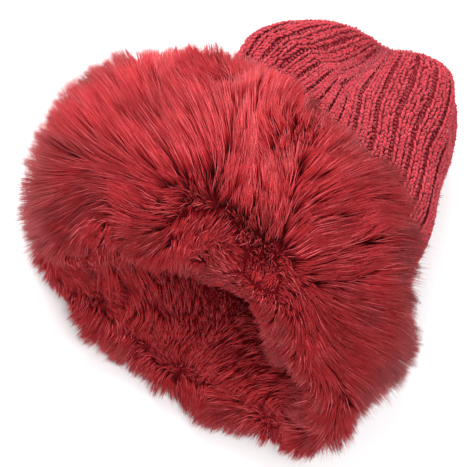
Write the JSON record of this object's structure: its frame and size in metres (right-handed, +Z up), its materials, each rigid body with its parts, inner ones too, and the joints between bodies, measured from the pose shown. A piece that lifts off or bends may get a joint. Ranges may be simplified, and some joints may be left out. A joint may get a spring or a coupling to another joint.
{
  "type": "slouchy knitted beanie with a fur cuff",
  "caption": "Slouchy rib-knit beanie lying on its back: a gathered, lobed crown over a deep plush fur cuff that turns into the open mouth.",
  "frame": {"origin": "on the resting surface, under the middle of the hat's bounding box", "axes": "+Z up from the surface, +Y from the mouth towards the gathered crown, +X to the right as seen from the mouth"},
  "size_m": [0.3144, 0.3276, 0.1659],
  "materials": {
    "rib_knit": "matte fuzzy rib knit",
    "plush_fur": "soft long-pile fur, silky tips",
    "lining_fur": "shorter, darker fur"
  },
  "bodies": {
    "root": {"knit_bag": "rib_knit", "fur_cuff": "plush_fur", "fur_lining": "lining_fur"}
  },
  "joints": []
}
